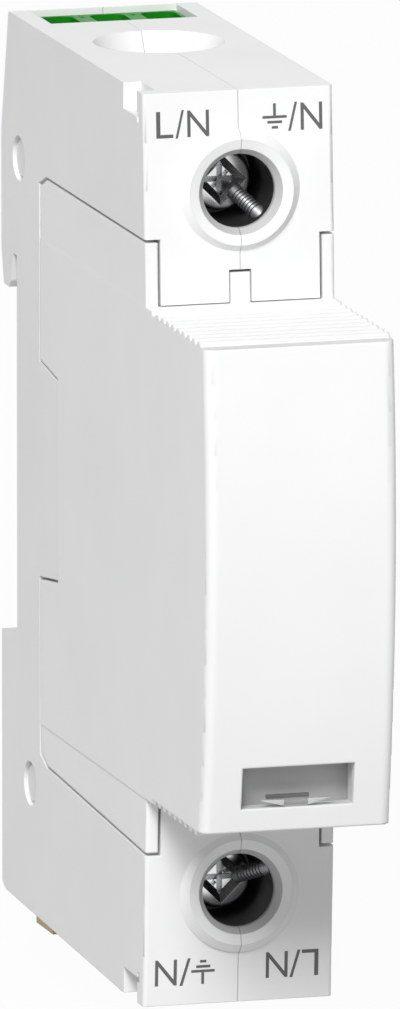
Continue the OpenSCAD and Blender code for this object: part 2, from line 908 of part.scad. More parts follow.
module din_clip() {
    color([0.86, 0.78, 0.45])
        difference() {
            union() {
                from_side(-clip_w / 2, clip_w / 2)
                    polygon([
                        [clip_rear, tab_top - tab_h],
                        [clip_front + tab_reach, tab_top - tab_h],
                        [clip_front + tab_reach, tab_top],
                        [clip_front, tab_top],
                        [clip_front, rail_bottom - 1],
                        [clip_nose_d, rail_bottom - 0.6],
                        [clip_nose_d, rail_bottom + clip_bite],
                        [clip_nose_d - 0.5, rail_bottom + clip_bite],
                        [clip_rear, rail_bottom - 0.6]
                    ]);
                block(
                    [-lug_w / 2, lug_w / 2],
                    [clip_front - eps, clip_front + lug_reach],
                    [lug_top - lug_t, lug_top]
                );
            }
            block(
                [-tab_slot[0] / 2, tab_slot[0] / 2],
                [clip_rear - 1, clip_front + tab_reach + 1],
                [tab_top - tab_h / 2 - tab_slot[1] / 2, tab_top - tab_h / 2 + tab_slot[1] / 2]
            );
        }
}

// Coil spring standing upright
module coil_spring(x, d, z0, z1, outer_d, wire_d, turns) {
    sides = 8;
    rings = turns * 12;
    coil_r = (outer_d - wire_d) / 2;
    rise = z1 - z0 - wire_d;
    ring_points = [for (i = [0 : rings], j = [0 : sides - 1])
        let (a = 360 * turns * i / rings, b = 360 * j / sides)
        let (r = coil_r + wire_d / 2 * cos(b))
        [x + r * cos(a), -d + r * sin(a), z0 + wire_d / 2 + rise * i / rings + wire_d / 2 * sin(b)]];
    walls = [for (i = [0 : rings - 1], j = [0 : sides - 1])
        let (k = (j + 1) % sides, p = i * sides, q = p + sides)
        each [[p + j, q + k, q + j], [p + j, p + k, q + k]]];
    ends = [
        [for (j = [sides - 1 : -1 : 0]) j],
        [for (j = [0 : sides - 1]) rings * sides + j]
    ];
    polyhedron(ring_points, concat(walls, ends));
}

module din_clip_spring() {
    color(steel)
        coil_spring(
            0, clip_spring_d,
            spring_floor + press_gap, lug_top - lug_t - press_gap,
            clip_spring_od, clip_wire_d, 6
        );
}

module signal_header() {
    half = cavity_w / 2 - press_gap;
    d = [plug_depth - cavity_d / 2 + press_gap, plug_depth + cavity_d / 2 - press_gap];
    color(green)
        difference() {
            block([-half, half], d, [cavity_floor, cavity_floor + header_h]);
            for (i = [-1 : 1])
                block(
                    [i * plug_pitch - lead_t / 2 - eps, i * plug_pitch + lead_t / 2 + eps],
                    [pin_depth - lead_t / 2 - eps, pin_depth + lead_t / 2 + eps],
                    [cavity_floor - 1, cavity_floor + header_h + 1]
                );
        }
}

// Pins of the header, each in one piece with its strip to the switch
module signal_leads() {
    d = [pin_depth - lead_t / 2, pin_depth + lead_t / 2];
    r = lead_t / 2;
    color(copper)
        for (i = [0 : 2]) {
            pin = (i - 1) * plug_pitch;
            out = lead_out[i];
            block([pin - r, pin + r], d, [lead_level[i], pin_top]);
            block([pin - r, out + r], d, [lead_level[i], lead_level[i] + lead_t]);
            block([out - r, out + r], d, [lead_end[i], lead_level[i] + lead_t]);
            block([switch_w / 2, out + r], d, [lead_end[i], lead_end[i] + lead_t]);
        }
}

module signal_plug() {
    pin_room = lead_t / 2 + 0.2;
    color(green)
        difference() {
            block(
                [-plug_w / 2, plug_w / 2],
                [plug_depth - plug_d / 2, plug_depth + plug_d / 2],
                [plug_bottom, plug_top]
            );
            for (i = [-1 : 1]) {
                from_top(entry_floor, plug_top + 1)
                    polygon(rounded([
                        [i * plug_pitch - entry_w / 2, entry_d[0], entry_r],
                        [i * plug_pitch + entry_w / 2, entry_d[0], entry_r],
                        [i * plug_pitch + entry_w / 2, entry_d[1], entry_r],
                        [i * plug_pitch - entry_w / 2, entry_d[1], entry_r]
                    ]));
                block(
                    [i * plug_pitch - pin_room, i * plug_pitch + pin_room],
                    [pin_depth - pin_room, pin_depth + pin_room],
                    [plug_bottom - 1, pin_top + 0.4]
                );
            }
            for (side = [-1, 1])
                translate([side * plug_pitch / 2, -entry_d[0] - 0.9, plug_top - land_hole[1]])
                    cylinder(h = 1, d = land_hole[0], $fn = 16);
        }
}

// Bent wire clamps on the floors of the wire entries
module signal_plug_contacts() {
    t = clamp_t;
    reach = clamp_reach;
    color(steel)
        for (i = [-1 : 1])
            from_side(i * plug_pitch - clamp_w / 2, i * plug_pitch + clamp_w / 2)
                polygon([
                    [plug_depth - reach, entry_floor],
                    [plug_depth + reach, entry_floor],
                    [plug_depth + reach, entry_floor + t],
                    [plug_depth - reach + t, entry_floor + t],
                    [plug_depth + t / 2, entry_floor + clamp_h],
                    [plug_depth - t / 2, entry_floor + clamp_h],
                    [plug_depth - reach, entry_floor + t]
                ]);
}

module microswitch_body() {
    color(dark)
        difference() {
            block([-switch_w / 2, switch_w / 2], switch_d, switch_z);
            bar_front_to(
                0, plunger_z, switch_d[1] - plunger_root - plunger_travel - 0.4, switch_d[1] + 1,
                plunger_d / 2 + plunger_fit, plunger_d / 2 + plunger_fit
            );
        }
}

module microswitch_plunger() {
    color([0.80, 0.15, 0.12])
        bar_front_to(0, plunger_z, switch_d[1] - plunger_root, plunger_tip, plunger_d / 2, plunger_d / 2);
}

// Round ribs across a grip face, as many as fit before the front edge rounds off
module grip_ribs(start, front) {
    first = face_depth + start + rib_r;
    x = half_w - side_inset;
    for (i = [0 : floor((front - nose_edge_r - rib_r - first) / rib_pitch)])
        bar_across(-x, x, first + i * rib_pitch, nose_top - rib_r, rib_r);
}

// Grip face in front of the terminal face, lower than the ribs by their rise
module grip_land() {
    block([-body_w, body_w], [land_start, far_front], [nose_top - land_drop, nose_top + 1]);
}

module window_room(gap) {
    block(
        [-window_w / 2 + gap, window_w / 2 - gap],
        [nose_inner - 1, far_front],
        [window_z - window_h / 2 + gap, window_z + window_h / 2 - gap]
    );
}

module cartridge_shell() {
    color(white)
        difference() {
            union() {
                intersection() {
                    difference() {
                        from_side(-body_w, body_w) polygon(body_outline(0, 0, 0));
                        above_and_below() grip_land();
                    }
                    nose_front();
                }
                grip_ribs(rib_start, nose_at(nose_top));
                mirror([0, 0, 1]) grip_ribs(rib_start - rib_shift, nose_at(-nose_top));
                intersection() {
                    union() {
                        difference() {
                            left_and_right()
                                from_side(ear_in, half_w - side_inset) polygon(ear_outline(-side_inset, 0));
                            block(
                                [-body_w, body_w],
                                [-1, far_front + 1],
                                [ear_root - nose_top, nose_top - ear_root]
                            );
                        }
                        block(
                            [-key_w / 2, key_w / 2],
                            [face_depth - key_len, far_front],
                            [nose_top - 0.5, nose_top + key_h]
                        );
                    }
                    terminal_front();
                }
            }
            block([-cavity_x, cavity_x], [-1, nose_inner], [-cavity_z, cavity_z]);
            window_room(0);
        }
}

// Rear cover of the cartridge, bent round the base's tongue
module cartridge_back_plate() {
    x = cavity_x - press_gap;
    z = cavity_z - press_gap;
    color([0.30, 0.31, 0.33])
        difference() {
            from_side(-x, x)
                polygon(concat(
                    [[seat_depth + plate_t, z], [seat_depth, z]],
                    rear_edge(0, 0),
                    [
                        [seat_depth, -z],
                        [seat_depth + plate_t, -z],
                        [seat_depth + plate_t, tongue_bottom - plate_t],
                        [tongue_depth + plate_t, tongue_bottom - plate_t],
                        [tongue_depth + plate_t, tongue_top + plate_t],
                        [seat_depth + plate_t, tongue_top + plate_t]
                    ]
                ));
            above_and_below()
                block(
                    [-blade_t / 2 - eps, blade_t / 2 + eps],
                    [0, tongue_depth],
                    [blade_z - blade_w / 2 - eps, blade_z + blade_w / 2 + eps]
                );
        }
}

// Clear lens with a flange behind the nose front and a small moulded lug in its lower edge
module window_lens() {
    gap = 0.08;
    lug = [2.4, 1.1, 0.5];
    x = window_w / 2;
    color([0.45, 0.46, 0.48])
        union() {
            intersection() {
                window_room(gap);
                block([-x, x], [nose_inner - 0.5, lens_front], [-nose_top, 0]);
            }
            block(
                [-x - lens_flange, x + lens_flange],
                [nose_inner - lens_flange_t, nose_inner],
                [max(window_z - lens_flange_r, press_gap - cavity_z), window_z + lens_flange_r]
            );
            block(
                [-lug[0] / 2, lug[0] / 2],
                [lens_front - eps, lens_front + lug[2]],
                [window_z - window_h / 2 + gap, window_z - window_h / 2 + gap + lug[1]]
            );
        }
}

// Red plate that shows in the window once the flag has moved away
module status_plate() {
    x = min(window_w / 2 + 0.3, slider_x - slide_gap);
    color([0.75, 0.10, 0.10])
        block([-x, x], [status_d - status_t, status_d], [-cavity_z, flag_z[1] + 0.6]);
}

module varistor_block() {
    r = varistor_round;
    color([0.20, 0.30, 0.55])
        from_side(varistor_x, right_plate_x)
            polygon(rounded([
                [varistor_d[0], -varistor_z, r], [varistor_d[1], -varistor_z, r],
                [varistor_d[1], varistor_z, r], [varistor_d[0], varistor_z, r]
            ]));
}

module electrode_disc(x) {
    bar_across(x, x + electrode_t, varistor_mid, 0, electrode_r);
}

module varistor_left_electrode() {
    color(copper) {
        electrode_disc(left_plate_x);
        block(
            [left_plate_x, varistor_x],
            [blade_foot, varistor_mid],
            [blade_z - blade_w / 2, blade_z + blade_w / 2]
        );
        block(
            [left_plate_x, varistor_x],
            [varistor_mid - blade_w, varistor_mid],
            [0, blade_z + blade_w / 2]
        );
    }
}

module varistor_right_electrode() {
    color(copper) electrode_disc(right_plate_x);
}

// Blade with a foot bent aside to the electrode
module upper_blade() {
    z = [blade_z - blade_w / 2, blade_z + blade_w / 2];
    color(copper) {
        block([-blade_t / 2, blade_t / 2], [blade_tip, blade_foot], z);
        block([left_plate_x, blade_t / 2], [blade_foot - blade_t, blade_foot], z);
    }
}

// Blade with a foot and a contact rail that the trip slider's arm runs along
module lower_blade() {
    z = [-blade_z - blade_w / 2, -blade_z + blade_w / 2];
    color(copper) {
        block([-blade_t / 2, blade_t / 2], [blade_tip, blade_foot], z);
        block([-blade_t / 2, rail_x + arm_t], [blade_foot - blade_t, blade_foot], z);
        block([rail_x, rail_x + arm_t], [blade_foot - blade_t, arm_d[1]], z);
        block([rail_x, rail_x + arm_t], arm_d, [z[0], rail_top_z]);
    }
}

// Contact arm of the trip slider, soldered to the right electrode until it overheats
module disconnect_arm() {
    color(copper) {
        block([slider_x - arm_t, slider_x], arm_d, [arm_foot, arm_z[1]]);
        block([right_plate_x + electrode_t + press_gap, slider_x], arm_d, arm_z);
    }
}

// White flag in one piece with the slider that carries it
module indicator_flag() {
    x = [slider_x, slider_x + slider_t];
    color(white) {
        block(x, slider_d, slider_z);
        block(x, [slider_d[1] - carrier_len, flag_d[1]], [flag_z[0], slider_z[0] + carrier_lap]);
        block([-window_w / 2 - 0.3, x[1]], flag_d, flag_z);
        block(
            [slider_x - trip_foot, x[0] + eps],
            [trip_spring_d - trip_foot / 2, trip_spring_d + trip_foot / 2],
            [slider_z[0], slider_z[0] + trip_foot_t]
        );
    }
}

module trip_spring() {
    color(steel)
        coil_spring(
            slider_x - trip_foot / 2, trip_spring_d, press_gap - cavity_z, slider_z[0] - press_gap,
            trip_spring_od, trip_wire_d, 7
        );
}

base_left_shell();
base_right_shell();
case_rivets();
upper_busbar();
lower_busbar();
upper_contact_jaw();
lower_contact_jaw();
upper_screw();
lower_screw();
upper_cage();
lower_cage();
upper_screw_keeper();
lower_screw_keeper();
upper_screw_sleeve();
lower_screw_sleeve();
din_clip();
din_clip_spring();
signal_header();
signal_leads();
signal_plug();
signal_plug_contacts();
microswitch_body();
microswitch_plunger();
cartridge_shell();
cartridge_back_plate();
window_lens();
status_plate();
varistor_block();
varistor_left_electrode();
varistor_right_electrode();
upper_blade();
lower_blade();
disconnect_arm();
indicator_flag();
trip_spring();
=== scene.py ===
import json
import math
import bpy
from mathutils import Matrix, Vector


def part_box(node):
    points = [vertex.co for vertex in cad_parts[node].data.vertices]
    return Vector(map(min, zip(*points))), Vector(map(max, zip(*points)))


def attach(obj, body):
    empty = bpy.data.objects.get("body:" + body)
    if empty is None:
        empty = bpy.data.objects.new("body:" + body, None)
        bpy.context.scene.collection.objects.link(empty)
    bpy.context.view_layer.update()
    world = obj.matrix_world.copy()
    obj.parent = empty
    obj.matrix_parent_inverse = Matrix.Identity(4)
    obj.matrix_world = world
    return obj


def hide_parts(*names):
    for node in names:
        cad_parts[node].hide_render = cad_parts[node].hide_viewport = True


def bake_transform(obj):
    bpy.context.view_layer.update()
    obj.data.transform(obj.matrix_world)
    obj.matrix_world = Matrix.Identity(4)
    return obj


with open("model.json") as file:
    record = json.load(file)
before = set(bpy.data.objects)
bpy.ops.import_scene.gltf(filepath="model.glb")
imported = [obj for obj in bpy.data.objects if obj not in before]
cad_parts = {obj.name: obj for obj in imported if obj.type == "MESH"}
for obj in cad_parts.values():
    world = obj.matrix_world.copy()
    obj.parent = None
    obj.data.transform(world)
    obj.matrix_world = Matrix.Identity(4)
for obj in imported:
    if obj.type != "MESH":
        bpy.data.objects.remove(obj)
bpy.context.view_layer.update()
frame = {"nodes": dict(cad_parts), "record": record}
nodes = frame["nodes"]
mm = 0.001
quarter = math.pi / 2
print("frame loaded:", len(nodes), "solids")


# the photograph's view
cameraSettings = {
    "place": (-0.6266, -2.24985, 0.44819),
    "turn": (quarter - 0.1913, 0.0, -0.2752),
    "lens": 607.55,  # mm on a 24 mm high sensor
    "sensor": 24.0,
    "far": 50.0,
}


def addCamera(s):
    data = bpy.data.cameras.new("photoCamera")
    camera = bpy.data.objects.new("photoCamera", data)
    bpy.context.scene.collection.objects.link(camera)
    camera.location = s["place"]
    camera.rotation_euler = s["turn"]
    data.sensor_fit = "VERTICAL"
    data.sensor_height = s["sensor"]
    data.lens = s["lens"]
    data.clip_end = s["far"]
    bpy.context.scene.camera = camera


addCamera(cameraSettings)
bpy.context.scene.view_settings.view_transform = "Standard"

# one soft lamp, in front, above and to the left, that looks at the middle of the part
lampSettings = {
    "place": Vector((-0.54, -1.14, 1.08)),
    "target": Vector((0, -0.03, 0)),
    "size": 0.65,
    "watts": 27.4,
}


def addLamp(s):
    data = bpy.data.lights.new("keyLamp", "AREA")
    data.shape = "SQUARE"
    data.size = s["size"]
    data.energy = s["watts"]
    lamp = bpy.data.objects.new("keyLamp", data)
    lamp.location = s["place"]
    lamp.rotation_euler = (s["target"] - s["place"]).to_track_quat("-Z", "Y").to_euler()
    bpy.context.scene.collection.objects.link(lamp)


addLamp(lampSettings)


def mathNode(tree, operation, *values):
    # each value is a number or the output of another node
    node = tree.nodes.new("ShaderNodeMath")
    node.operation = operation
    for socket, value in zip(node.inputs, values):
        if isinstance(value, float):
            socket.default_value = value
        else:
            tree.links.new(value, socket)
    return node.outputs[0]


def seenByEye(tree):
    # 1 for camera, glossy and transmission rays, so that metal and glass see the backdrop as well
    rays = tree.nodes.new("ShaderNodeLightPath").outputs
    direct = mathNode(tree, "MAXIMUM", rays["Is Camera Ray"], rays["Is Glossy Ray"])
    return mathNode(tree, "MAXIMUM", direct, rays["Is Transmission Ray"])


# colour and strength of the light on the part, and of the backdrop
worldSettings = {
    "fill": ((0.985, 1.0, 0.992, 1), 0.27),
    "backdrop": ((1, 1, 1, 1), 1.0),
}


def setWorld(s):
    world = bpy.data.worlds.new("studioWorld")
    bpy.context.scene.world = world
    world.use_nodes = True
    tree = world.node_tree
    tree.nodes.clear()
    out = tree.nodes.new("ShaderNodeOutputWorld")
    mix = tree.nodes.new("ShaderNodeMixShader")
    tree.links.new(seenByEye(tree), mix.inputs["Fac"])
    for place, (color, strength) in enumerate((s["fill"], s["backdrop"]), 1):
        light = tree.nodes.new("ShaderNodeBackground")
        light.inputs["Color"].default_value = color
        light.inputs["Strength"].default_value = strength
        tree.links.new(light.outputs[0], mix.inputs[place])
    tree.links.new(mix.outputs[0], out.inputs["Surface"])


setWorld(worldSettings)
print("camera, lamp and world set")


# finishes, all on Object coordinates
def newMaterial(name):
    material = bpy.data.materials.new(name)
    material.use_nodes = True
    tree = material.node_tree
    tree.nodes.clear()
    out = tree.nodes.new("ShaderNodeOutputMaterial")
    shader = tree.nodes.new("ShaderNodeBsdfPrincipled")
    tree.links.new(shader.outputs["BSDF"], out.inputs["Surface"])
    return material, tree, shader


def objectNoise(tree, scale, detail=3.0, stretch=(1, 1, 1)):
    coord = tree.nodes.new("ShaderNodeTexCoord")
    mapping = tree.nodes.new("ShaderNodeMapping")
    mapping.inputs["Scale"].default_value = stretch
    noise = tree.nodes.new("ShaderNodeTexNoise")
    noise.inputs["Scale"].default_value = scale
    noise.inputs["Detail"].default_value = detail
    tree.links.new(coord.outputs["Object"], mapping.inputs["Vector"])
    tree.links.new(mapping.outputs["Vector"], noise.inputs["Vector"])
    return noise.outputs["Fac"]


def ramp(tree, factor, low, high, start=0.3, end=0.7):
    node = tree.nodes.new("ShaderNodeValToRGB")
    node.color_ramp.elements[0].position = start
    node.color_ramp.elements[0].color = low
    node.color_ramp.elements[1].position = end
    node.color_ramp.elements[1].color = high
    tree.links.new(factor, node.inputs["Fac"])
    return node.outputs["Color"]


def spread(tree, factor, low, high, start=0.0, end=1.0):
    node = tree.nodes.new("ShaderNodeMapRange")
    node.inputs["From Min"].default_value = start
    node.inputs["From Max"].default_value = end
    node.inputs["To Min"].default_value = low
    node.inputs["To Max"].default_value = high
    tree.links.new(factor, node.inputs["Value"])
    return node.outputs["Result"]


def shade(color, factor):
    return tuple(min(1.0, c * factor) for c in color) + (1,)


def addBump(tree, shader, height, strength, distance=0.02 * mm):
    bump = tree.nodes.new("ShaderNodeBump")
    bump.inputs["Strength"].default_value = strength
    bump.inputs["Distance"].default_value = distance
    tree.links.new(height, bump.inputs["Height"])
    tree.links.new(bump.outputs["Normal"], shader.inputs["Normal"])
    return bump


def parts(tree, kind):
    # x, y and z of the place on the piece (Object) or of its normal (Normal)
    coord = tree.nodes.new("ShaderNodeTexCoord")
    split = tree.nodes.new("ShaderNodeSeparateXYZ")
    tree.links.new(coord.outputs[kind], split.inputs[0])
    return split.outputs


# painted shade: the funnels in the two collars are painted a darker grey than the housing, as if they
# lay in shadow
funnelShadeSettings = {
    "lift": 0.0006,  # of the middle between the two screw axes
    "height": 0.0326,  # of either axis from that middle
    "radius": 0.00398,
    "front": -0.03,
    "tone": 0.62,
}


def funnelShadeMask(tree, s):
    # 1 inside the collars' inner edge, round either screw axis, at the front only: where the painted
    # shade goes
    place = parts(tree, "Object")
    fromMiddle = mathNode(tree, "ABSOLUTE", mathNode(tree, "SUBTRACT", place["Z"], s["lift"]))
    offset = tree.nodes.new("ShaderNodeCombineXYZ")
    tree.links.new(place["X"], offset.inputs["X"])
    tree.links.new(mathNode(tree, "SUBTRACT", fromMiddle, s["height"]), offset.inputs["Z"])
    reach = tree.nodes.new("ShaderNodeVectorMath")
    reach.operation = "LENGTH"
    tree.links.new(offset.outputs[0], reach.inputs[0])
    inside = mathNode(tree, "LESS_THAN", reach.outputs["Value"], s["radius"])
    ahead = mathNode(tree, "LESS_THAN", place["Y"], s["front"])
    return mathNode(tree, "MULTIPLY", inside, ahead)


# painted shade: the grooves between the grip ribs are painted darker than the crests
grooveShadeSettings = {
    "floor": 0.02245,  # heights above and below the middle
    "crest": 0.0229,
    "level": 0.5,  # least share of up or down in the normal
    "tone": 0.76,
}


def grooveShadeMask(tree, s):
    # 1 on the floor of the grooves and 0 on the crests, on faces that look up or down: how much painted
    # shade each place gets
    height = mathNode(tree, "ABSOLUTE", parts(tree, "Object")["Z"])
    facing = mathNode(tree, "ABSOLUTE", parts(tree, "Normal")["Z"])
    depth = spread(tree, height, 1.0, 0.0, s["floor"], s["crest"])
    past = mathNode(tree, "GREATER_THAN", height, s["floor"])
    level = mathNode(tree, "GREATER_THAN", facing, s["level"])
    return mathNode(tree, "MULTIPLY", mathNode(tree, "MULTIPLY", depth, past), level)


plasticSettings = {
    "cloud": 70.0,  # noise scale of the tone
    "grainDetail": 2.0,
    "gloss": 0.06,  # how far the roughness strays either way
    "edgeSamples": 6,
    "ior": 1.5,
}


def mouldedPlastic(
    name, color, rough=0.45, grain=5200.0, depth=0.05, tone=0.02, edge=0.0, shine=0.5, paintedShade=None
):
    # cloudy tone, fine spark texture, uneven gloss; the last argument, when given, is a mask and its
    # settings for painted shade, a darker copy of the colour inside the mask
    s = plasticSettings
    material, tree, shader = newMaterial(name)
    cloud = objectNoise(tree, s["cloud"])
    body = ramp(tree, cloud, shade(color, 1 - tone), shade(color, 1 + tone))
    if paintedShade:
        maskOf, place = paintedShade
        low, high = (1 - tone) * place["tone"], (1 + tone) * place["tone"]
        # painted shade: the masked places take the darker colour
        mix = tree.nodes.new("ShaderNodeMix")
        mix.data_type = "RGBA"
        # of this node's sockets, 0 is the factor, 6 and 7 are the colours and 2 is the colour out
        tree.links.new(maskOf(tree, place), mix.inputs[0])
        tree.links.new(body, mix.inputs[6])
        tree.links.new(ramp(tree, cloud, shade(color, low), shade(color, high)), mix.inputs[7])
        body = mix.outputs[2]
    tree.links.new(body, shader.inputs["Base Color"])
    fine = objectNoise(tree, grain, s["grainDetail"])
    gloss = spread(tree, fine, rough - s["gloss"], rough + s["gloss"])
    tree.links.new(gloss, shader.inputs["Roughness"])
    bump = addBump(tree, shader, fine, depth)
    if edge > 0:
        soft = tree.nodes.new("ShaderNodeBevel")
        soft.samples = s["edgeSamples"]
        soft.inputs["Radius"].default_value = edge
        tree.links.new(soft.outputs["Normal"], bump.inputs["Normal"])
    shader.inputs["IOR"].default_value = s["ior"]
    shader.inputs["Specular IOR Level"].default_value = shine
    return material


metalSettings = {
    "streak": 900.0,
    "streakDetail": 4.0,
    "stain": 160.0,
    "stainTones": (0.86, 1.06),
    "gloss": (-0.1, 0.12),
    "bump": 0.08,
}


def workedMetal(name, color, rough, stretch=(1, 1, 1)):
    # plated or stamped metal: drawn streaks, stained tone
    s = metalSettings
    material, tree, shader = newMaterial(name)
    streak = objectNoise(tree, s["streak"], s["streakDetail"], stretch)
    low, high = (shade(color, tone) for tone in s["stainTones"])
    stain = ramp(tree, objectNoise(tree, s["stain"]), low, high)
    tree.links.new(stain, shader.inputs["Base Color"])
    gloss = spread(tree, streak, *(rough + change for change in s["gloss"]))
    tree.links.new(gloss, shader.inputs["Roughness"])
    addBump(tree, shader, streak, s["bump"])
    shader.inputs["Metallic"].default_value = 1.0
    return material


paneSettings = {
    "cloud": 240.0,
    "tones": (0.92, 1.08),
    "rough": (0.1, 0.2),
    "ior": 1.58,
}


def smokedLens(name, color, alpha):
    s = paneSettings
    material, tree, shader = newMaterial(name)
    cloud = objectNoise(tree, s["cloud"])
    low, high = (shade(color, tone) for tone in s["tones"])
    tree.links.new(ramp(tree, cloud, low, high), shader.inputs["Base Color"])
    tree.links.new(spread(tree, cloud, *s["rough"]), shader.inputs["Roughness"])
    shader.inputs["Alpha"].default_value = alpha
    shader.inputs["IOR"].default_value = s["ior"]
    return material


finishes = {
    # housing white, with painted shade in the collars' funnels
    "base_plastic": mouldedPlastic(
        "baseWhite", (0.838, 0.845, 0.841), 0.5, depth=0.06, edge=0.12 * mm,
        paintedShade=(funnelShadeMask, funnelShadeSettings),
    ),
    # cartridge white, with painted shade in the grip grooves
    "cartridge_plastic": mouldedPlastic(
        "cartridgeWhite", (0.845, 0.852, 0.848), 0.42, depth=0.04, edge=0.3 * mm,
        paintedShade=(grooveShadeMask, grooveShadeSettings),
    ),
    "pin_plastic": mouldedPlastic("pinWhite", (0.78, 0.79, 0.79), 0.5),
    "copper": workedMetal("stampedCopper", (0.62, 0.33, 0.2), 0.32, stretch=(1, 1, 0.1)),
    "zinc_steel": workedMetal("zincSteel", (0.66, 0.67, 0.7), 0.24),
    "spring_steel": workedMetal("springSteel", (0.5, 0.51, 0.53), 0.3),
    "clip_plastic": mouldedPlastic("clipYellow", (0.62, 0.5, 0.2), 0.5),
    "green_plastic": mouldedPlastic(
        "connectorGreen", (0.006, 0.213, 0.006), 0.4, tone=0.06, shine=0.25
    ),
    "dark_plastic": mouldedPlastic("darkPlastic", (0.014, 0.014, 0.015), 0.5, tone=0.1),
    "red_plastic": mouldedPlastic("signalRed", (0.76, 0.022, 0.016), 0.4, tone=0.05),
    "flag_plastic": mouldedPlastic("flagWhite", (0.8, 0.8, 0.8), 0.5),
    "lens_clear": smokedLens("smokedLens", (0.42, 0.425, 0.43), 0.12),
    "varistor_coat": mouldedPlastic(
        "varistorBlue", (0.02, 0.05, 0.2), 0.3, grain=900.0, depth=0.1, tone=0.08
    ),
}
# painted highlight: the wedges' lighter grey stands in for the reflections on their facets
ledgeHighlight = smokedLens("ledgeHighlight", (0.62, 0.625, 0.63), 0.85)
barSmoke = smokedLens("barSmoke", (0.1, 0.102, 0.104), 0.85)
ribbedSteel = workedMetal("ribbedSteel", (0.4, 0.405, 0.41), 0.56)
brightZinc = workedMetal("brightZinc", (0.86, 0.87, 0.88), 0.2)
inkGrey = mouldedPlastic("inkGrey", (0.1, 0.1, 0.1), 0.55, grain=9000.0, tone=0.08)


def paint(piece, material):
    piece.data.materials.clear()
    piece.data.materials.append(material)


def paintSolids():
    slots = {row["node"]: row["material_slot"] for row in frame["record"]["subparts"]}
    for name, piece in nodes.items():
        material = finishes[slots[name]]
        if len(piece.material_slots) == 0:
            piece.data.materials.append(material)
        for place in piece.material_slots:
            place.material = material


paintSolids()
print("solids painted:", len(finishes), "finishes")


# the steps that the hand-made pieces share
def clearSelection():
    if bpy.context.object and bpy.context.object.mode != "OBJECT":
        bpy.ops.object.mode_set(mode="OBJECT")
    bpy.ops.object.select_all(action="DESELECT")


def takeUp(piece):
    clearSelection()
    piece.select_set(True)
    bpy.context.view_layer.objects.active = piece


def enterEdit():
    bpy.ops.object.mode_set(mode="EDIT")


def leaveEdit():
    bpy.ops.object.mode_set(mode="OBJECT")


def settle(piece):
    # place, turn and scale go into the mesh
    takeUp(piece)
    bpy.ops.object.transform_apply(location=True, rotation=True, scale=True)
    return piece


def giveName(piece, name):
    piece.name = name
    piece.data.name = name
    return piece


def joinAll(pieces, name):
    clearSelection()
    for piece in pieces:
        piece.select_set(True)
    bpy.context.view_layer.objects.active = pieces[0]
    bpy.ops.object.join()
    return giveName(bpy.context.object, name)


def applyModifier(piece, kind, **values):
    takeUp(piece)
    modifier = piece.modifiers.new(kind.lower(), kind)
    for key, value in values.items():
        setattr(modifier, key, value)
    bpy.ops.object.modifier_apply(modifier=modifier.name)


frontward = Vector((0, -1, 0))
backward = Vector((0, 1, 0))
upward = Vector((0, 0, 1))
sideward = Vector((1, 0, 0))
squarely = 0.9  # least cosine between a picked face's normal and the direction


def pickFaces(piece, direction):
    # leaves the mesh in edit mode with the faces that look that way selected
    takeUp(piece)
    enterEdit()
    bpy.ops.mesh.select_mode(type="FACE")
    bpy.ops.mesh.select_all(action="DESELECT")
    leaveEdit()
    for face in piece.data.polygons:
        face.select = face.normal.dot(direction) > squarely
    enterEdit()


def boxPiece(low, high):
    # a block between two corners, in millimetres
    clearSelection()
    middle = [(a + b) / 2 for a, b in zip(low, high)]
    bpy.ops.mesh.primitive_cube_add(size=1, location=middle)
    block = bpy.context.object
    block.scale = [b - a for a, b in zip(low, high)]
    return settle(block)


def combine(piece, other, operation):
    # the other piece is used up
    applyModifier(piece, "BOOLEAN", object=other, operation=operation, solver="EXACT")
    bpy.data.objects.remove(other, do_unlink=True)


def cutAway(piece, cutter):
    combine(piece, cutter, "DIFFERENCE")


def softenEdges(piece, width):
    applyModifier(piece, "BEVEL", width=width, segments=2, limit_method="ANGLE")


def sweepHelix(piece, axis, pitch, turns, steps, merge):
    # an outline swept round an axis and closed at both ends; merge is a distance in and after the sweep
    within, after = merge
    applyModifier(
        piece, "SCREW", axis=axis, angle=2 * math.pi, screw_offset=pitch, iterations=turns,
        steps=steps, render_steps=steps, use_merge_vertices=True, merge_threshold=within,
    )
    takeUp(piece)
    enterEdit()
    bpy.ops.mesh.select_all(action="SELECT")
    bpy.ops.mesh.remove_doubles(threshold=after)
    bpy.ops.mesh.fill_holes(sides=0)
    bpy.ops.mesh.normals_make_consistent(inside=False)
    leaveEdit()


def toMetres(piece):
    piece.scale = (mm, mm, mm)
    return settle(piece)


def smoothBy(piece, degrees):
    takeUp(piece)
    bpy.ops.object.shade_smooth_by_angle(angle=math.radians(degrees))


def axisHeight(low, high):
    # height of a box's middle, in millimetres
    return (low[2] + high[2]) / 2 / mm


floorSettings = {
    "level": -0.0482,
    "size": 14.0,
    "back": 2.0,  # how far its middle lies behind the part
    "cuts": 4,
    "cloud": 3.0,
    "tones": (0.5, 0.515),
    "rough": 0.9,
    "glow": 0.965,
}


